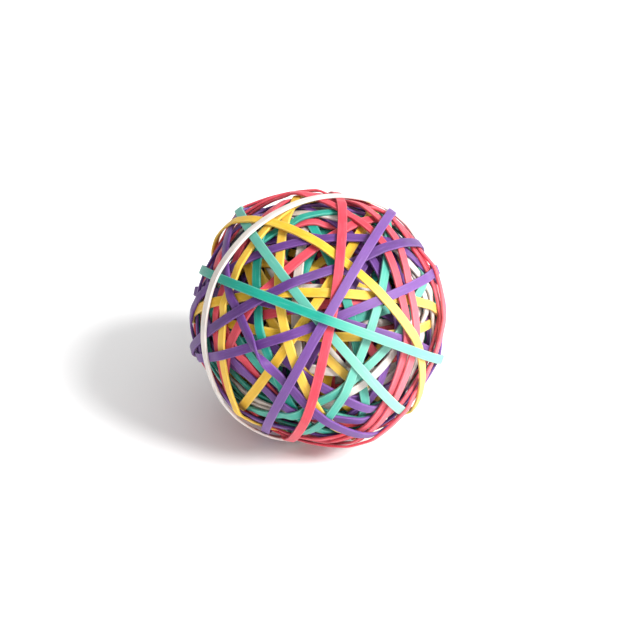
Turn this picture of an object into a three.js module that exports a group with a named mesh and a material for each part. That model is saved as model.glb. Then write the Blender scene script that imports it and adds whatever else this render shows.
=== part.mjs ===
// A rubber band ball about 75 mm across, resting on a flat surface.
//
// Flat office bands are stretched one after another round a tightly wound middle. Each band is
// its own closed loop. It follows one plane near the ball's centre. It is taut, so it presses
// the bands that it crosses inwards, and runs nearly straight from one crossing to the next.
// The several hundred bands that are wholly covered are one body, wound_core.
//
// Frame: millimetres, +Z up, origin on the surface that the ball rests on, below its middle.

import * as THREE from "three";

// Driving dimensions, in millimetres.
const CORE_RADIUS = 30.5; // the wound middle, out to the lowest band that can still be seen
const BALL_RADIUS = 37; // to the outer bands, where a plane's distance from the centre is taken
const BAND_WIDTH = 2.6; // a 3.2 mm band, narrower for being stretched
const BAND_THICKNESS = 0.72;
const BAND_GAP = 0.08; // left between one band and the next, so that no two bodies touch
const REST_PLACE = [0.31, 0.43, 35.848]; // centre of the middle; the outside is centred over 0, 0
const REST_SIDE = [-50.549, -83.849]; // bearing and rise, on the ball as wound, of its lowest side

// How finely a band is made.
const CORE_DETAIL = 4; // subdivisions of the icosahedron that the middle is made from
const NODES = 240; // points round a band where its height is worked out
const SWEEPS = 3000; // times that every height is moved towards balance
const PULL = [0.8, 0.05]; // share of the way that a band closes to a straight run, first and last
const SECTIONS = 46; // cross-sections round one band, at most
const FEEL_STEP = 0.5; // millimetres between the points where a band is felt by later ones
const FEEL_MARGIN = 0.12; // millimetres beyond its own edges that a band feels
const ACROSS = [-1, -0.5, 0, 0.5, 1]; // the feeling points across a band, in half widths

const RUBBER = {
  teal: { color: "#2fbfa6", roughness: 0.62, metalness: 0 },
  purple: { color: "#8453b4", roughness: 0.62, metalness: 0 },
  yellow: { color: "#f6cf45", roughness: 0.62, metalness: 0 },
  pink: { color: "#f0627a", roughness: 0.62, metalness: 0 },
  white: { color: "#ece6df", roughness: 0.62, metalness: 0 },
};

// The bands in the order in which they were put on, the lowest first: colour, then the normal
// of the band's plane as a bearing from +X and a rise above the horizontal, both in degrees,
// then how far along that normal the plane stands from the ball's centre, in millimetres.
const WINDING = [
  // low bands, seen only in the gaps
  ["white", 50, 74, 0],
  ["yellow", 21, 38, 0],
  ["teal", -70, 67, 0],
  ["white", -8, 7, 0],
  ["purple", 160, 23, -4],
  ["yellow", 6, 38, -1],
  ["pink", 101, 44, 0],
  ["teal", 112, 53, 0],
  ["white", -130, 72, 1],
  ["purple", -30, 84, -1],
  ["purple", -149, 36, 0],
  ["teal", 22, 2, 0],
  ["white", -166, 64, 0],
  ["teal", -11, 56, -1],
  ["purple", 78, 4, -2],
  ["white", -120, 25, 0],
  ["teal", -66, 36, 0],
  ["purple", 10, 52, 0],
  ["pink", -88, 7, 2],
  ["purple", -137, 10, 0],
  ["yellow", 84, 62, 2],
  ["white", -109, 7, -2],
  ["pink", -31, 53, 2],
  ["teal", -70, 13, 3],
  // middle bands, covered in part
  ["teal", -88, 54, 0],
  ["purple", -93, 22, 0],
  ["teal", -15, 27, 0],
  ["purple", -29, 66, 0],
  ["teal", -177, 57, 0],
  ["purple", 69, 44, -2],
  ["yellow", 159, 27, 4.5],
  ["pink", 131, 11, 0.5],
  ["pink", -39, 15, -8.5],
  ["purple", -78, 49, 2],
  ["yellow", -11, 24, 5],
  ["yellow", 90, 39, 0],
  ["teal", -177, 28, -3.5],
  ["pink", -112, 51, 0],
  ["purple", 97, 11, 0],
  ["yellow", -44, 16, -1.5],
  // top bands, each in view for almost its whole length
  ["pink", -132, 25, 6.5],
  ["pink", -110, 29, 0],
  ["pink", -142, 25, -1.5],
  ["purple", 123, 51, 1.5],
  ["purple", -3, 44, -1.5],
  ["teal", 25, 32, 2],
  ["pink", -113, 40, 1],
  ["purple", 120, 37, 6],
  ["yellow", 53, 10, -1],
  ["pink", -180, 14, 2],
  ["purple", 158, 21, -3.5],
  ["teal", 59, 47, 1],
  ["white", -60, 17, 1],
];

const STEP = (2 * Math.PI) / NODES;
const LOWEST = CORE_RADIUS + BAND_GAP;
const STACK = BAND_THICKNESS + BAND_GAP;

// The unit vector with a given bearing and rise.
function pointing(bearing, rise) {
  const turn = THREE.MathUtils.degToRad(bearing);
  const lift = THREE.MathUtils.degToRad(rise);
  const flat = Math.cos(lift);
  return new THREE.Vector3(flat * Math.cos(turn), flat * Math.sin(turn), Math.sin(lift));
}

// The path that a band keeps to: a circle on the ball, with its plane's normal, two directions
// in that plane, and the slope that the circle's distance from the centre gives the band.
function pathOf(bearing, rise, offset) {
  const normal = pointing(bearing, rise);
  const start = new THREE.Vector3(0, 0, 1).cross(normal).normalize();
  const side = normal.clone().cross(start);
  return { normal, start, side, slope: Math.asin(offset / BALL_RADIUS) };
}

// The direction from the centre to the path at an angle, and the direction across the band there.
function frameAt(path, angle) {
  const flat = path.start.clone().multiplyScalar(Math.cos(angle));
  flat.addScaledVector(path.side, Math.sin(angle));
  const out = flat.clone().multiplyScalar(Math.cos(path.slope));
  out.addScaledVector(path.normal, Math.sin(path.slope));
  const across = path.normal.clone().multiplyScalar(Math.cos(path.slope));
  across.addScaledVector(flat, -Math.sin(path.slope));
  return { out, across };
}

// How far, as an angle, a direction is to the side of a path.
function asideOf(path, direction) {
  return Math.asin(direction.dot(path.normal)) - path.slope;
}

function angleOn(path, direction) {
  return Math.atan2(direction.dot(path.side), direction.dot(path.start));
}

// The numbers of the two nodes on either side of an angle.
function nodesBeside(angle) {
  const first = Math.floor(angle / STEP + NODES) % NODES;
  return [first, (first + 1) % NODES];
}

// Every place where one band lies over an earlier one: the number of a node of the lower band,
// with the number of each node of the upper band that is beside a point across the lower one.
function crossingsOf(paths) {
  const pairs = new Map();
  const reach = (BAND_WIDTH / 2 + FEEL_MARGIN) / CORE_RADIUS;
  paths.forEach((lower, i) => {
    for (let k = 0; k < NODES; k += 1) {
      const { out, across } = frameAt(lower, k * STEP);
      for (const share of ACROSS) {
        const aside = (share * BAND_WIDTH) / 2 / CORE_RADIUS;
        const direction = out.clone().addScaledVector(across, aside).normalize();
        for (let j = i + 1; j < paths.length; j += 1) {
          if (Math.abs(asideOf(paths[j], direction)) < reach) {
            for (const near of nodesBeside(angleOn(paths[j], direction))) {
              const pair = [i * NODES + k, j * NODES + near];
              pairs.set(pair.join(), pair);
            }
          }
        }
      }
    }
  });
  return [...pairs.values()];
}

// The height of every node of every band once the bands have pressed each other into balance.
// A taut band closes towards the straight run between its neighbouring nodes. Where two bands
// cross, the upper one is pushed out and the lower one in, by the same amount.
function balancedHeights(paths) {
  const pairs = crossingsOf(paths);
  const count = paths.length * NODES;
  const height = new Float64Array(count);
  for (let i = 0; i < count; i += 1) {
    height[i] = LOWEST + (Math.floor(i / NODES) * STACK) / 8;
  }
  for (let sweep = 0; sweep < SWEEPS; sweep += 1) {
    const pull = PULL[0] * (PULL[1] / PULL[0]) ** (sweep / SWEEPS);
    for (let i = 0; i < count; i += 1) {
      const first = i - (i % NODES);
      const before = height[first + ((i + NODES - 1) % NODES)];
      const after = height[first + ((i + 1) % NODES)];
      const straight = ((before + after) / 2) * Math.cos(STEP);
      height[i] += pull * (straight - height[i]);
    }
    for (const [lower, upper] of pairs) {
      const lack = height[lower] + STACK - height[upper];
      if (lack > 0) {
        height[lower] -= lack / 2;
        height[upper] += lack / 2;
      }
    }
    for (let i = 0; i < count; i += 1) height[i] = Math.max(height[i], LOWEST);
  }
  return height;
}

// The outline of a band's inner face: the balanced heights, raised wherever the face of an
// earlier band, or the gap above it, would come through.
function clearOutline(heights, supports) {
  const raised = Array.from(heights, (height) => Math.max(height, LOWEST));
  for (const { angle, height } of supports) {
    for (const k of nodesBeside(angle)) raised[k] = Math.max(raised[k], height);
  }
  return raised.map((height, k) => {
    const corner = new THREE.Vector2(Math.cos(k * STEP), Math.sin(k * STEP));
    return corner.multiplyScalar(height);
  });
}

// How much is added when the corner at b is cut off by the line from a to c, or null when that
// line would pass inside the corner.
function addedWithout(a, b, c) {
  const line = c.clone().sub(a);
  const depth = line.cross(b.clone().sub(a)) / line.length();
  return depth < 0 ? null : depth;
}

// Where the side before a..b and the side after it meet when a..b is taken away, with how far
// that corner stands out, or null when they don't meet outside it.
function cornerWithout(before, a, b, after) {
  const edge = b.clone().sub(a);
  const u = a.clone().sub(before);
  const v = after.clone().sub(b);
  const spread = u.cross(v);
  if (u.cross(edge) <= 0 || edge.cross(v) <= 0 || spread < 1e-9) return null;
  const corner = a.clone().addScaledVector(u, edge.cross(v) / spread);
  const rise = Math.abs(edge.cross(corner.clone().sub(a))) / edge.length();
  return { corner, rise };
}

// The same outline with fewer corners, and nowhere inside the first one. The change that adds
// least is made again and again: either a hollow corner is passed over, or a side is dropped and
// its neighbours are carried on until they meet.
function withFewerCorners(outline, most) {
  const loop = [...outline];
  while (loop.length > most) {
    let best = { rise: Infinity };
    for (let i = 0; i < loop.length; i += 1) {
      const next = (i + 1) % loop.length;
      const before = loop[(i + loop.length - 1) % loop.length];
      const after = loop[(i + 2) % loop.length];
      const added = addedWithout(before, loop[i], loop[next]);
      if (added !== null && added < best.rise) best = { rise: added, i, drop: true };
      const found = cornerWithout(before, loop[i], loop[next], after);
      if (found && found.rise < best.rise) best = { ...found, i, next };
    }
    if (best.drop) {
      loop.splice(best.i, 1);
    } else {
      loop[best.i] = best.corner;
      loop.splice(best.next, 1);
    }
  }
  return loop;
}

// The points on the faces of earlier bands that a band's own width passes over: where each one
// is along the band, and the height that its inner face keeps above it.
function supportsUnder(path, felt) {
  const supports = [];
  const reach = BAND_WIDTH / 2 + FEEL_MARGIN;
  for (const point of felt) {
    const distance = point.length();
    const direction = point.clone().divideScalar(distance);
    if (Math.abs(asideOf(path, direction)) * distance < reach) {
      supports.push({ angle: angleOn(path, direction), height: distance + BAND_GAP });
    }
  }
  return supports;
}

// The band's cross-section at each corner of its outline: four points, the two on the inner face
// and then the two on the outer one.
function sectionsAlong(path, outline) {
  return outline.map((corner) => {
    const { out, across } = frameAt(path, corner.angle());
    const at = (height, aside) =>
      out.clone().multiplyScalar(height).addScaledVector(across, (aside * BAND_WIDTH) / 2);
    const inner = corner.length();
    const outer = inner + BAND_THICKNESS;
    return [at(inner, -1), at(inner, 1), at(outer, 1), at(outer, -1)];
  });
}

// The points on a band's outer face where later bands feel for it.
function facePoints(sections) {
  const points = [];
  sections.forEach((section, i) => {
    const next = sections[(i + 1) % sections.length];
    const steps = Math.ceil(section[2].distanceTo(next[2]) / FEEL_STEP);
    for (let step = 0; step < steps; step += 1) {
      const left = section[3].clone().lerp(next[3], step / steps);
      const right = section[2].clone().lerp(next[2], step / steps);
      for (const aside of ACROSS) points.push(left.clone().lerp(right, (aside + 1) / 2));
    }
  });
  return points;
}

// The closed loop through the sections, its faces pointing out.
function loopGeometry(sections) {
  const index = [];
  const corners = sections[0].length;
  sections.forEach((section, i) => {
    const here = i * corners;
    const there = ((i + 1) % sections.length) * corners;
    for (let k = 0; k < corners; k += 1) {
      const next = (k + 1) % corners;
      index.push(here + k, here + next, there + next);
      index.push(here + k, there + next, there + k);
    }
  });
  const geometry = new THREE.BufferGeometry().setFromPoints(sections.flat());
  geometry.setIndex(index);
  geometry.computeVertexNormals();
  return geometry;
}

function namedMesh(name, geometry, rubber) {
  const mesh = new THREE.Mesh(geometry, new THREE.MeshStandardMaterial(rubber));
  mesh.name = name;
  return mesh;
}

// The ball rests on three crossings, so it is turned to bring them level with each other.
const ball = new THREE.Group();
ball.position.set(...REST_PLACE);
ball.quaternion.setFromUnitVectors(pointing(...REST_SIDE), new THREE.Vector3(0, 0, -1));

const core = new THREE.IcosahedronGeometry(CORE_RADIUS, CORE_DETAIL);
ball.add(namedMesh("wound_core", core, RUBBER.purple));

const paths = WINDING.map(([, bearing, rise, offset]) => pathOf(bearing, rise, offset));
const balanced = balancedHeights(paths);
const felt = [];
WINDING.forEach(([color], i) => {
  const heights = balanced.slice(i * NODES, (i + 1) * NODES);
  const outline = clearOutline(heights, supportsUnder(paths[i], felt));
  const sections = sectionsAlong(paths[i], withFewerCorners(outline, SECTIONS));
  felt.push(...facePoints(sections));
  const name = `band_${String(i + 1).padStart(2, "0")}_${color}`;
  ball.add(namedMesh(name, loopGeometry(sections), RUBBER[color]));
});

const part = new THREE.Group();
part.add(ball);

export default part;
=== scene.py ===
"""A rubber band ball on a pale floor.

Every packed band is made again along its own path as a smooth, square-cut strip of rubber. Below
them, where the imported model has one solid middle, come the bands that were wound before, which
show in the gaps. Lengths are in metres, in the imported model's frame.
"""

import math

import bpy
import numpy as np
from mathutils import Matrix, Vector


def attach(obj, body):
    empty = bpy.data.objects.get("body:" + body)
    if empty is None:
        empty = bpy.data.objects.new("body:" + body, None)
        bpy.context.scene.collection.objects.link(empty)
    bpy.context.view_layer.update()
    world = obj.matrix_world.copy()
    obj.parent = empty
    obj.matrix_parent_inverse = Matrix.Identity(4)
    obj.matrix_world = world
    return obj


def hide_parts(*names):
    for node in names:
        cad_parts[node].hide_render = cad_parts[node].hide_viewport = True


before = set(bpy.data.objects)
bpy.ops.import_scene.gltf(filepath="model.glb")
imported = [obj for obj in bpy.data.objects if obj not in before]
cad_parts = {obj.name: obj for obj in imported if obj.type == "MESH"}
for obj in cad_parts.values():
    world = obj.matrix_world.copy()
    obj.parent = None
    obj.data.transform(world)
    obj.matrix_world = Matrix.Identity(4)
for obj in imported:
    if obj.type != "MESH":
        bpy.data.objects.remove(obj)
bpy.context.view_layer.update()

MM = 0.001
TURN = 2 * math.pi

# The strip of rubber.
HALF_WIDTH = 1.3 * MM
THICKNESS = 0.72 * MM
BALL_RADIUS = 37 * MM
EDGE_RADIUS = 0.13 * MM  # of the cut edges
SHOULDER = 0.42 * MM  # from the side, where the edge begins that is painted pale, partly for wear and partly as a painted highlight
CROWN = 0.035 * MM  # how far the middle of the outer face stands up
STATIONS = 300  # cross-sections round a band
SOFTENING = 1.5  # stations over which a bend is rounded
WIDTH_CHANGE = 0.022  # how uneven the width is, as a share of it
WANDER = 0.10 * MM  # how far a band strays from its circle
TWIST = 0.02  # how far it leans to one side on its way, an angle

# How the free runs are drawn straighter.
TAUT_SPREAD = 4.0  # stations over which a run is averaged
TAUT_ROUNDS = 12
TAUT_REACH = 2.7 * MM  # from a band's middle to where a crossing one leaves it free
FLOOR_GAP = 0.25 * MM  # left under a run that is drawn straighter
NOT_DOWN = 0.01  # a direction that leans down by less than this never meets the floor

# The angles at which a band flips over to its other face and back.
HALF_TWISTS = {"45_purple": (0.59, 2.735)}
TWIST_LENGTH = 0.40  # an angle

# The bands wound before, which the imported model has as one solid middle.
LOW_COLOURS = ["yellow", "teal", "pink", "yellow", "purple", "white"]
LOW_BANDS = 84
LOW_STATIONS = 150
LOW_NODES = 180  # places round a band where its height is worked out
LOW_SWEEPS = 320  # rounds of working the heights out
LOW_SOFTENING = 1.0  # stations over which their bends are rounded
LOW_CUT = 0.2 * MM  # off the outer corners of their section
LOW_BEARINGS = 0.2  # how far their planes are turned at random, an angle
LOW_SLOPES = 0.06  # how far they lie beside the ball's centre, an angle
LOW_REACH = 2.1 * HALF_WIDTH  # from a band's middle to where a crossing one meets it
LOW_PULL = 0.3  # share of its way to straight that a node goes in a sweep
LOW_GIVE = 0.55  # share of an overlap by which the lower band goes in
LOW_RISE = 0.45  # and by which the upper one goes out
STACK = 0.79 * MM  # from one band's inner face to the next one's
CEILING = 30.42 * MM - THICKNESS  # the highest inner face of a low band

# Colours of the rubber, as linear values: plain, pale with wear and painted light, and deep. The
# last number is how much of the pale one is painted on the side that the light falls on, as
# painted light.
RUBBERS = {
    "teal": ((0.002, 0.315, 0.232), (0.31, 0.56, 0.465), (0.001, 0.215, 0.170), 0.55),
    "purple": ((0.118, 0.034, 0.217), (0.34, 0.18, 0.49), (0.062, 0.016, 0.122), 0.40),
    "yellow": ((0.760, 0.450, 0.022), (0.92, 0.74, 0.28), (0.500, 0.265, 0.004), 0.40),
    "pink": ((0.640, 0.043, 0.072), (0.90, 0.26, 0.30), (0.370, 0.014, 0.036), 0.35),
    "white": ((0.740, 0.675, 0.625), (0.90, 0.88, 0.86), (0.430, 0.365, 0.315), 0.30),
}
PAINTED_LIGHT_SIDE = (0.75, -0.66, 0.08)  # painted light: the side that the light falls on, where the bands are painted paler
PAINTED_LIGHT_FROM, PAINTED_LIGHT_TO = 0.62, 1.02  # how far towards it, in BALL_RADIUS

# The rubber's noises, in waves to a millimetre of grain: two values along the band, one across.
STREAK_WAVES = (0.16, 0.16, 2.6)
PATCH_WAVES = (0.20, 0.20, 0.35)
SPECK_WAVES = (4.5, 4.5, 5.5)

# Shares of the pale and the deep colour at most.
STREAK_PALE, SPECK_PALE = 0.17, 0.12
# The cut edges take the pale colour partly for wear and partly as a painted highlight.
EDGE_WEAR_AND_HIGHLIGHT, RUBBED_WEAR_AND_HIGHLIGHT = 0.12, 0.20
TONE_PALE, TONE_DEEP = 0.30, 0.50
PATCH_DEEP, STREAK_DEEP = 0.30, 0.22

# How pale (over 0) or deep (under 0) single bands are. The others differ at random.
OTHER_TONES = (-0.6, 0.5)
LOW_TONES = (-0.8, 0.3)
TONES = {
    "46_teal": 0.9,
    "52_teal": 0.0,
    "51_purple": 0.5,
    "48_purple": -0.8,
    "44_purple": 0.0,
    "45_purple": -0.3,
    "39_purple": -0.4,
    "50_pink": 0.0,
    "49_yellow": 0.1,
    "53_white": 0.0,
    "43_pink": 0.4,
    "32_pink": 0.3,
    # Painted shade: the white bands that lie low and show in the gaps are painted deep.
    "01_white": -0.9,
    "04_white": -0.9,
    "09_white": -0.9,
    "13_white": -0.9,
    "16_white": -0.9,
    "22_white": -0.9,
    "30_purple": -0.6,
}

# The view and the light.
VIEW = (2.916, 35.149, -4.776)  # azimuth, elevation and roll, in degrees
VIEW_DISTANCE = 0.4385
LENS = 85  # millimetres, with SENSOR
SENSOR = 36
SHIFT = (0.003125, -0.0046875)  # of the picture's width
NEAREST = 0.01  # that the camera shows
KEY_FROM = (0.691, -0.380, 0.616)
KEY_SPREAD = 20  # degrees, so that its shadow is soft
KEY_STRENGTH = 4.5
SKY = 0.86
SKY_LEAN = (0.78, -0.25, 0.0)  # how much brighter the room is towards each axis
FLOOR_SIZE = 6.0
FLOOR_GREY = 0.93


# ---------------------------------------------------------------- paths


def corners_of(node):
    """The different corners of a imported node's loose triangles."""
    places = np.empty(len(node.data.vertices) * 3, np.float32)
    node.data.vertices.foreach_get("co", places)
    return np.unique(places.reshape(-1, 3).round(6), axis=0).astype(float)


CENTRE = corners_of(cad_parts["wound_core"]).mean(axis=0)


def angles_round(count):
    """As many angles, evenly round a loop."""
    return np.arange(count) * TURN / count


class Path:
    """The circle that a band keeps to: its plane's normal, and the slope of the cone from the
    ball's centre that the circle's distance from the centre makes."""

    def __init__(self, normal, slope):
        self.normal = normal
        self.slope = slope
        start = np.cross((0, 0, 1), normal)
        self.start = start / np.linalg.norm(start)
        self.side = np.cross(normal, self.start)

    def frame_at(self, angles):
        """out = flat * cos(slope) + normal * sin(slope), and across = normal * cos(slope)
        - flat * sin(slope), where flat = start * cos(angle) + side * sin(angle)."""
        flat = np.cos(angles)[:, None] * self.start + np.sin(angles)[:, None] * self.side
        out = flat * math.cos(self.slope) + self.normal * math.sin(self.slope)
        across = self.normal * math.cos(self.slope) - flat * math.sin(self.slope)
        return out, across


def packed_path(node):
    """A packed band's path and the outline of its inner face, as angles and heights. Its corners
    come four to a cross-section, and their directions lie evenly on both sides of its cone."""
    rays = corners_of(node) - CENTRE
    directions = rays / np.linalg.norm(rays, axis=1)[:, None]
    normal = np.linalg.eigh(np.cov(directions.T))[1][:, 0]
    normal *= np.sign(normal[np.argmax(np.abs(normal))])
    path = Path(normal, math.asin((directions @ normal).mean()))
    forward, sideways = rays @ path.start, rays @ path.side
    height = np.hypot(forward, sideways) * math.cos(path.slope)
    height += rays @ normal * math.sin(path.slope)
    angle = np.arctan2(sideways, forward)
    order = np.argsort(angle)
    gaps = np.diff(angle[order], append=angle[order[0]] + TURN)
    order = np.roll(order, -1 - int(np.argmax(gaps)))
    angle = np.unwrap(angle[order]).reshape(-1, 4)
    return path, angle.mean(axis=1), height[order].reshape(-1, 4).min(axis=1)


def outline_at(corner_angles, corner_heights, angles):
    """The distance to a polygon at some angles. The ray at an angle meets the side from corner a
    to corner b at cross(a, b) / cross(ray, b - a)."""
    a = corner_heights[:, None] * np.stack([np.cos(corner_angles), np.sin(corner_angles)], 1)
    b = np.roll(a, -1, axis=0)
    turned = (angles - corner_angles[0]) % TURN
    side = np.searchsorted(corner_angles - corner_angles[0], turned, side="right") - 1
    ray = np.stack([np.cos(angles), np.sin(angles)], 1)
    edge = (b - a)[side]
    meeting = (a[:, 0] * b[:, 1] - a[:, 1] * b[:, 0])[side]
    return meeting / (ray[:, 0] * edge[:, 1] - ray[:, 1] * edge[:, 0])


def softened(values, spread):
    """Values round a loop, averaged by a bell curve: each wave of frequency f, in waves per step,
    is multiplied by exp(-2 * (pi * f * spread) ** 2)."""
    waves = np.fft.rfftfreq(len(values))
    kept = np.fft.rfft(values) * np.exp(-2 * (math.pi * waves * spread) ** 2)
    return np.fft.irfft(kept, len(values))


def taut(lays):
    """Draws every band straighter where no later band lies on it. Its height becomes the larger
    of itself and its average, but stays STACK under the bands that cross over it, and over the
    floor."""
    angles = angles_round(STATIONS)
    for i in reversed(range(len(lays))):
        path, heights = lays[i]
        outs, acrosses = path.frame_at(angles)
        room = CENTRE[2] - FLOOR_GAP - np.abs(acrosses[:, 2]) * HALF_WIDTH
        limit = room / np.maximum(-outs[:, 2], NOT_DOWN) - THICKNESS
        for over, over_heights in lays[i + 1:]:
            aside = np.abs(np.arcsin(outs @ over.normal) - over.slope)
            angle = np.arctan2(outs @ over.side, outs @ over.start)
            above = over_heights[np.rint(angle / TURN * STATIONS).astype(int) % STATIONS]
            near = aside < TAUT_REACH / CEILING
            limit = np.where(near, np.minimum(limit, above - STACK), limit)
        limit = np.maximum(limit, heights)
        for _ in range(TAUT_ROUNDS):
            heights = np.minimum(np.maximum(heights, softened(heights, TAUT_SPREAD)), limit)
        lays[i] = (path, softened(heights, SOFTENING))


def unevenness(angles, size, waves, rng):
    """A smooth unevenness round a loop: a sum of sines, one for each number of waves, with random
    phases and shares."""
    phase = rng.uniform(0, TURN, len(waves))
    share = rng.uniform(0.3, 1, len(waves))
    wave = np.sin(angles[:, None] * np.array(waves) + phase) * share
    return size * wave.sum(axis=1) / math.sqrt(len(waves))


# ---------------------------------------------------------------- strips


def strip_profile():
    """Round a strip's cross-section, from one shoulder over the outer face to the other, then
    down the side and back under the inner face: how far aside and how high each point is, and how
    pale its edge is painted, from 0 to 1, partly for wear on the cut and partly as a painted
    highlight, strongest at the top of the sides. The outer face is crowned by CROWN * (1 - (aside
    / HALF_WIDTH) ** 2)."""
    flat, cut = HALF_WIDTH - EDGE_RADIUS, EDGE_RADIUS * (1 - math.sqrt(0.5))
    top = THICKNESS - EDGE_RADIUS
    face = np.array([-flat, SHOULDER - HALF_WIDTH, -0.4 * HALF_WIDTH, 0])
    aside = np.concatenate([face, -face[-2::-1]])
    lift = THICKNESS + CROWN * (1 - (aside / HALF_WIDTH) ** 2)
    wear_and_highlight = np.zeros_like(aside)
    # The cut edges are painted pale, partly for wear and partly as a painted highlight where they
    # catch the light.
    wear_and_highlight[[0, -1]] = 0.85
    down = np.array([HALF_WIDTH - cut, HALF_WIDTH, HALF_WIDTH, flat])
    drop = np.array([THICKNESS - cut, top, EDGE_RADIUS, 0])
    rubbed_and_highlit = np.array([1.0, 0.75, 0.3, 0.0])
    aside = np.concatenate([aside, down, -down[::-1]])
    lift = np.concatenate([lift, drop, drop[::-1]])
    return aside, lift, np.concatenate([wear_and_highlight, rubbed_and_highlit, rubbed_and_highlit[::-1]])


def low_profile():
    """The cross-section of a covered strip: a rectangle with its outer corners cut off."""
    flat, top = HALF_WIDTH - LOW_CUT, THICKNESS - LOW_CUT
    aside = np.array([-flat, 0, flat, HALF_WIDTH, HALF_WIDTH, -HALF_WIDTH, -HALF_WIDTH])
    lift = np.array([THICKNESS, THICKNESS, THICKNESS, top, 0, 0, top])
    # The cut outer corners are painted pale, partly for wear and partly as a painted highlight.
    return aside, lift, np.array([0.5, 0, 0.5, 0.5, 0, 0, 0.5])


def half_turned(angles, first, second):
    """The turn of a band that lies on its other face between two angles: half a turn back and
    then half a turn on, over TWIST_LENGTH round each angle, as share ** 2 * (3 - 2 * share)."""
    turns = []
    for middle in (first, second):
        share = np.clip((angles - middle) / TWIST_LENGTH + 0.5, 0, 1)
        turns.append(share**2 * (3 - 2 * share))
    return math.pi * (turns[1] - turns[0])


def strip_grid(path, heights, profile, rng, wander=0.0, twist=0.0, half_twists=None):
    """A band as a surface of the angle round the ball and the place round its cross-section:
    centre + out(angle) * (height(angle) + lift) + across(angle) * aside, with the cross-section
    turned by a small twist(angle) and moved aside by wander(angle). Its grain, in millimetres, is
    height * cos(angle), height * sin(angle) and aside + lift / 2. At a half twist the strip
    stands on its edge, so it is raised there by HALF_WIDTH * abs(sin(turn)) - THICKNESS / 2
    * (1 - abs(cos(turn))), which keeps its lowest corner where its inner face was."""
    aside, lift, wear_and_highlight = profile
    angles = angles_round(len(heights))
    out, across = path.frame_at(angles)
    width = 1 + unevenness(angles, WIDTH_CHANGE, (2, 3, 5, 17, 29), rng)
    turn = unevenness(angles, twist, (1, 2, 3, 5), rng)
    away = unevenness(angles, wander, (2, 3, 4, 7), rng)
    if half_twists:
        gained = half_turned(angles, *half_twists)
        turn = turn + gained
        heights = heights + HALF_WIDTH * np.abs(np.sin(gained))
        heights = heights - THICKNESS / 2 * (1 - np.abs(np.cos(gained)))
    x = aside * width[:, None]
    y = (lift - THICKNESS / 2) * np.ones_like(x)
    cos, sin = np.cos(turn)[:, None], np.sin(turn)[:, None]
    place_x = x * cos - y * sin + away[:, None]
    place_y = x * sin + y * cos + THICKNESS / 2 + heights[:, None]
    points = CENTRE + out[:, None] * place_y[..., None] + across[:, None] * place_x[..., None]
    forward, sideways = np.cos(angles) * heights, np.sin(angles) * heights
    grain = np.stack(np.broadcast_arrays(
        forward[:, None], sideways[:, None], aside + lift * 0.5), axis=-1)
    return points, grain / MM, np.broadcast_to(wear_and_highlight, x.shape)


def closed_faces(rows, columns):
    """The quads of a grid that closes on itself both ways."""
    row, column = np.meshgrid(np.arange(rows), np.arange(columns), indexing="ij")
    next_row, next_column = (row + 1) % rows, (column + 1) % columns
    corners = [row * columns + column, next_row * columns + column,
               next_row * columns + next_column, row * columns + next_column]
    return np.stack(corners, axis=-1).reshape(-1, 4)


def grid_normals(points):
    """At each point of a closed grid, the cross product of the steps along its two directions."""
    along = np.roll(points, -1, axis=0) - np.roll(points, 1, axis=0)
    after, before = np.roll(points, -1, axis=1) - points, points - np.roll(points, 1, axis=1)
    after /= np.linalg.norm(after, axis=-1, keepdims=True)
    before /= np.linalg.norm(before, axis=-1, keepdims=True)
    normals = np.cross(along, after + before)
    return normals / np.linalg.norm(normals, axis=-1, keepdims=True)


def piece_from(name, strips, tones, material):
    """One piece from several strips, each a closed grid, with its attributes for the rubber."""
    points, faces, normals, grains, wears_and_highlights, each_tone = [], [], [], [], [], []
    count = 0
    for (place, grain, wear_and_highlight), tone in zip(strips, tones):
        rows, columns = place.shape[:2]
        faces.append(closed_faces(rows, columns) + count)
        points.append(place.reshape(-1, 3))
        normals.append(grid_normals(place).reshape(-1, 3))
        grains.append(grain.reshape(-1, 3))
        wears_and_highlights.append(wear_and_highlight.ravel())
        each_tone.append(np.full(rows * columns, tone))
        count += rows * columns
    mesh = bpy.data.meshes.new(name)
    mesh.from_pydata(np.concatenate(points), [], np.concatenate(faces))
    for attribute, kind, values, field in (
        ("grain", "FLOAT_VECTOR", np.concatenate(grains), "vector"),
        ("wear_and_highlight", "FLOAT", np.concatenate(wears_and_highlights), "value"),
        ("tone", "FLOAT", np.concatenate(each_tone), "value"),
    ):
        layer = mesh.attributes.new(attribute, kind, "POINT")
        layer.data.foreach_set(field, values.astype(np.float32).ravel())
    mesh.polygons.foreach_set("use_smooth", np.ones(len(mesh.polygons), bool))
    mesh.normals_split_custom_set_from_vertices(np.concatenate(normals))
    mesh.materials.append(material)
    piece = bpy.data.objects.new(name, mesh)
    bpy.context.scene.collection.objects.link(piece)
    return piece


# ---------------------------------------------------------------- materials


class Wire:
    """A node's output. Arithmetic on it adds Math nodes to its finish."""

    def __init__(self, finish, socket):
        self.finish = finish
        self.socket = socket

    def __add__(self, other):
        return self.finish.maths("ADD", self, other)

    def __sub__(self, other):
        return self.finish.maths("SUBTRACT", self, other)

    def __rsub__(self, other):
        return self.finish.maths("SUBTRACT", other, self)

    def __mul__(self, other):
        return self.finish.maths("MULTIPLY", self, other)

    __radd__ = __add__
    __rmul__ = __mul__


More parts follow.
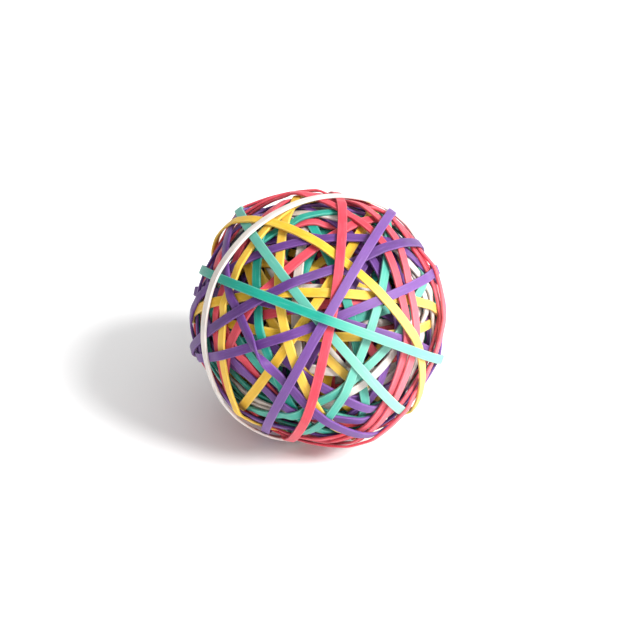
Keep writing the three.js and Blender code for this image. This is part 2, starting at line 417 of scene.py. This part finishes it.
class Finish:
    """The shader nodes of a material or of the world."""

    def __init__(self, owner):
        owner.use_nodes = True
        self.owner = owner
        self.tree = owner.node_tree
        self.tree.nodes.clear()

    def node(self, kind, settings, inputs, output=0):
        """Adds a node: first its settings, then the value or the link of each socket."""
        made = self.tree.nodes.new(kind)
        for setting, value in settings.items():
            setattr(made, setting, value)
        for socket, value in inputs.items():
            if isinstance(value, Wire):
                self.tree.links.new(value.socket, made.inputs[socket])
            else:
                made.inputs[socket].default_value = value
        return Wire(self, made.outputs[output])

    def maths(self, operation, a, b):
        return self.node("ShaderNodeMath", {"operation": operation}, {0: a, 1: b})

    def attribute(self, name, output):
        """An attribute that piece_from gave to the mesh."""
        return self.node("ShaderNodeAttribute", {"attribute_name": name}, {}, output)

    def scaled(self, vector, scale):
        settings = {"operation": "MULTIPLY"}
        return self.node("ShaderNodeVectorMath", settings, {0: vector, 1: scale})

    def along(self, vector, direction):
        """The dot product of a vector and a direction."""
        settings = {"operation": "DOT_PRODUCT"}
        return self.node("ShaderNodeVectorMath", settings, {0: vector, 1: direction}, "Value")

    def noise(self, vector, scale, detail=2.0, roughness=0.5):
        """Noise round 0.5, with as many waves in each unit along each axis as scale says."""
        inputs = {"Vector": self.scaled(vector, scale), "Scale": 1.0, "Detail": detail,
                  "Roughness": roughness}
        return self.node("ShaderNodeTexNoise", {}, inputs)

    def between(self, value, low, high):
        """0 where value is under low, 1 where it is over high, smooth between."""
        settings = {"interpolation_type": "SMOOTHSTEP"}
        return self.node("ShaderNodeMapRange", settings, {0: value, 1: low, 2: high})

    def mixed(self, share, first, second):
        """A colour between two. Sockets 6 and 7 and output 2 are the node's colours."""
        inputs = {0: share, 6: first, 7: second}
        return self.node("ShaderNodeMix", {"data_type": "RGBA"}, inputs, 2)

    def done(self, shader, output="ShaderNodeOutputMaterial"):
        """Ends the nodes with their output, and gives back what they belong to."""
        end = self.tree.nodes.new(output)
        self.tree.links.new(shader.socket, end.inputs["Surface"])
        return self.owner


def rubber(name, plain, pale_colour, deep, painted_light_share):
    """Matt rubber: lengthwise grain, a dusty bloom, cut edges made pale partly for wear and
    partly as a painted highlight, a tone for each band, and painted light: every band is paler on
    the side that the light falls on."""
    finish = Finish(bpy.data.materials.new(name))
    grain = finish.attribute("grain", "Vector")
    wear_and_highlight = finish.attribute("wear_and_highlight", "Fac")
    tone = finish.attribute("tone", "Fac")
    streaks = finish.noise(grain, STREAK_WAVES, 4.0, 0.65)
    patches = finish.noise(grain, PATCH_WAVES, 2.0)
    speck = finish.noise(grain, SPECK_WAVES, 2.0, 0.7)
    bloom = finish.between(streaks, 0.50, 0.74) * STREAK_PALE
    bloom = bloom + finish.between(speck, 0.58, 0.78) * SPECK_PALE
    rubbed_and_highlit = finish.between(speck + streaks, 0.75, 1.25) * RUBBED_WEAR_AND_HIGHLIGHT
    # Painted highlight and wear: the cut edges are painted pale.
    edge = wear_and_highlight * (EDGE_WEAR_AND_HIGHLIGHT + rubbed_and_highlit)
    # Painted light: every band is painted paler on the side of the ball that the light falls on.
    place = finish.node("ShaderNodeTexCoord", {}, {}, "Object")
    lean = finish.along(place, tuple(np.array(PAINTED_LIGHT_SIDE) / BALL_RADIUS))
    level = float(np.dot(CENTRE, PAINTED_LIGHT_SIDE) / BALL_RADIUS)
    painted_light = finish.between(lean - level, PAINTED_LIGHT_FROM, PAINTED_LIGHT_TO) * painted_light_share
    pale = bloom + edge + painted_light + finish.between(tone, 0.0, 1.0) * TONE_PALE
    dark = finish.between(patches, 0.38, 0.70) * PATCH_DEEP
    dark = dark + (1 - finish.between(streaks, 0.28, 0.50)) * STREAK_DEEP
    dark = dark + finish.between(-1 * tone, 0.0, 1.0) * TONE_DEEP
    shaded = finish.mixed(dark, (*plain, 1), (*deep, 1))
    colour = finish.mixed(pale, shaded, (*pale_colour, 1))
    relief = streaks * 0.6 + speck * 0.4
    bump = finish.node("ShaderNodeBump", {}, {
        "Strength": 0.5, "Distance": 0.03 * MM, "Height": relief})
    shader = finish.node("ShaderNodeBsdfPrincipled", {}, {
        "Base Color": colour,
        "Roughness": 0.46 + streaks * 0.16 + bloom * 0.2,
        "Normal": bump,
        "IOR": 1.5,
        "Specular IOR Level": 0.34,
        "Sheen Weight": 0.08,
        "Sheen Roughness": 0.5,
        "Subsurface Weight": 0.22,
        "Subsurface Radius": (1.0, 0.75, 0.7),
        "Subsurface Scale": 0.9 * MM,
    })
    return finish.done(shader)


RUBBER = {name: rubber("rubber_" + name, *colours) for name, colours in RUBBERS.items()}


# ---------------------------------------------------------------- the bands that show

rng = np.random.default_rng(53)
profile = strip_profile()
packed = sorted(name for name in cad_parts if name.startswith("band_"))
lays = []
for node_name in packed:
    path, corner_angles, corner_heights = packed_path(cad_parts[node_name])
    lays.append((path, outline_at(corner_angles, corner_heights, angles_round(STATIONS))))
taut(lays)
for node_name, (path, heights) in zip(packed, lays):
    colour = node_name.split("_")[-1]
    flips = HALF_TWISTS.get(node_name[5:])
    grid = strip_grid(path, heights, profile, rng, WANDER, TWIST, flips)
    tone = TONES.get(node_name[5:], rng.uniform(*OTHER_TONES))
    piece = piece_from("strip_" + node_name[5:], [grid], [tone], RUBBER[colour])
    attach(piece, "root")
    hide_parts(node_name)


# ---------------------------------------------------------------- the bands below


def low_paths(rng):
    """Planes for the low bands, turned evenly by the golden angle and then a little at random."""
    number = np.arange(LOW_BANDS)
    rise = np.arcsin((number + 0.5) / LOW_BANDS)
    bearing = number * math.pi * (3 - math.sqrt(5))
    bearing += rng.uniform(-LOW_BEARINGS, LOW_BEARINGS, LOW_BANDS)
    normals = np.stack([np.cos(rise) * np.cos(bearing), np.cos(rise) * np.sin(bearing),
                        np.sin(rise)], axis=1)
    slopes = rng.normal(0, LOW_SLOPES, LOW_BANDS)
    order = rng.permutation(LOW_BANDS)
    return [Path(normals[k], slopes[k]) for k in order]


def low_heights(paths):
    """The height of each node of each low band. A band evens out between its neighbouring nodes;
    where two cross, the lower one is pushed in and the upper one out; none passes the ceiling."""
    outs = np.concatenate([path.frame_at(angles_round(LOW_NODES))[0] for path in paths])
    owner = np.repeat(np.arange(len(paths)), LOW_NODES)
    lower, upper = [], []
    for j, path in enumerate(paths):
        aside = np.arcsin(np.clip(outs @ path.normal, -1, 1)) - path.slope
        hit = np.flatnonzero((np.abs(aside) < LOW_REACH / CEILING) & (owner < j))
        angle = np.arctan2(outs[hit] @ path.side, outs[hit] @ path.start)
        lower.append(hit)
        upper.append(j * LOW_NODES + np.rint(angle / TURN * LOW_NODES).astype(int) % LOW_NODES)
    lower, upper = np.concatenate(lower), np.concatenate(upper)
    height = np.full((len(paths), LOW_NODES), CEILING)
    for _ in range(LOW_SWEEPS):
        height += LOW_PULL * ((np.roll(height, 1, 1) + np.roll(height, -1, 1)) / 2 - height)
        flat = height.ravel()
        lack = np.clip(flat[lower] + STACK - flat[upper], 0, None)
        push = np.zeros_like(flat)
        np.maximum.at(push, lower, lack)
        raised = np.zeros_like(flat)
        np.maximum.at(raised, upper, lack)
        flat = flat - LOW_GIVE * push + LOW_RISE * raised
        height = np.minimum(flat.reshape(height.shape), CEILING)
    return height


low_rng = np.random.default_rng(7)
paths = low_paths(low_rng)
settled = low_heights(paths)
nodes = np.append(angles_round(LOW_NODES), TURN)
by_colour = {colour: [] for colour in LOW_COLOURS}
for number, path in enumerate(paths):
    closed = np.append(settled[number], settled[number][0])
    heights = np.interp(angles_round(LOW_STATIONS), nodes, closed)
    grid = strip_grid(path, softened(heights, LOW_SOFTENING), low_profile(), low_rng)
    by_colour[LOW_COLOURS[number % len(LOW_COLOURS)]].append(grid)
for colour, strips in by_colour.items():
    tones = low_rng.uniform(*LOW_TONES, len(strips))
    piece = piece_from("low_strips_" + colour, strips, tones, RUBBER[colour])
    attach(piece, "root")
    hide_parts("wound_core")


# ---------------------------------------------------------------- floor, light and view


def pale_floor():
    """A wide flat floor, nearly white."""
    finish = Finish(bpy.data.materials.new("pale_floor"))
    shader = finish.node("ShaderNodeBsdfPrincipled", {}, {
        "Base Color": (FLOOR_GREY, FLOOR_GREY, FLOOR_GREY, 1),
        "Roughness": 0.85,
        "Specular IOR Level": 0.1,
    })
    half = FLOOR_SIZE / 2
    corners = [(-half, -half, 0), (half, -half, 0), (half, half, 0), (-half, half, 0)]
    mesh = bpy.data.meshes.new("floor")
    mesh.from_pydata(corners, [], [(0, 1, 2, 3)])
    mesh.materials.append(finish.done(shader))
    return bpy.data.objects.new("floor", mesh)


def soft_room():
    """A world whose light is SKY * (1 + direction . SKY_LEAN)."""
    finish = Finish(bpy.data.worlds.new("soft_room"))
    direction = finish.node("ShaderNodeTexCoord", {}, {}, "Generated")
    lean = finish.along(direction, SKY_LEAN)
    shader = finish.node("ShaderNodeBackground", {}, {
        "Color": (1, 1, 1, 1), "Strength": lean * SKY + SKY})
    return finish.done(shader, "ShaderNodeOutputWorld")


def key_light():
    """One broad, distant lamp."""
    lamp = bpy.data.lights.new("key", "SUN")
    lamp.angle = math.radians(KEY_SPREAD)
    lamp.energy = KEY_STRENGTH
    key = bpy.data.objects.new("key", lamp)
    key.rotation_euler = Vector(KEY_FROM).to_track_quat("Z", "Y").to_euler()
    return key


def view_camera():
    """The camera, which looks at the ball's centre and is rolled about its own axis."""
    azimuth, elevation, roll = (math.radians(angle) for angle in VIEW)
    back = Vector((math.sin(azimuth) * math.cos(elevation),
                   -math.cos(azimuth) * math.cos(elevation), math.sin(elevation)))
    level = Vector((math.cos(azimuth), math.sin(azimuth), 0))
    right = level * math.cos(roll) + back.cross(level) * math.sin(roll)
    turned = Matrix((right, back.cross(right), back)).transposed().to_4x4()
    lens = bpy.data.cameras.new("camera")
    lens.lens = LENS
    lens.sensor_width = SENSOR
    lens.shift_x, lens.shift_y = SHIFT
    lens.clip_start = NEAREST
    camera = bpy.data.objects.new("camera", lens)
    camera.matrix_world = Matrix.Translation(Vector(CENTRE) + back * VIEW_DISTANCE) @ turned
    return camera


floor, key, camera = pale_floor(), key_light(), view_camera()
for thing in (floor, key, camera):
    bpy.context.scene.collection.objects.link(thing)
bpy.context.scene.world = soft_room()
bpy.context.scene.camera = camera
bpy.context.scene.view_settings.view_transform = "Standard"
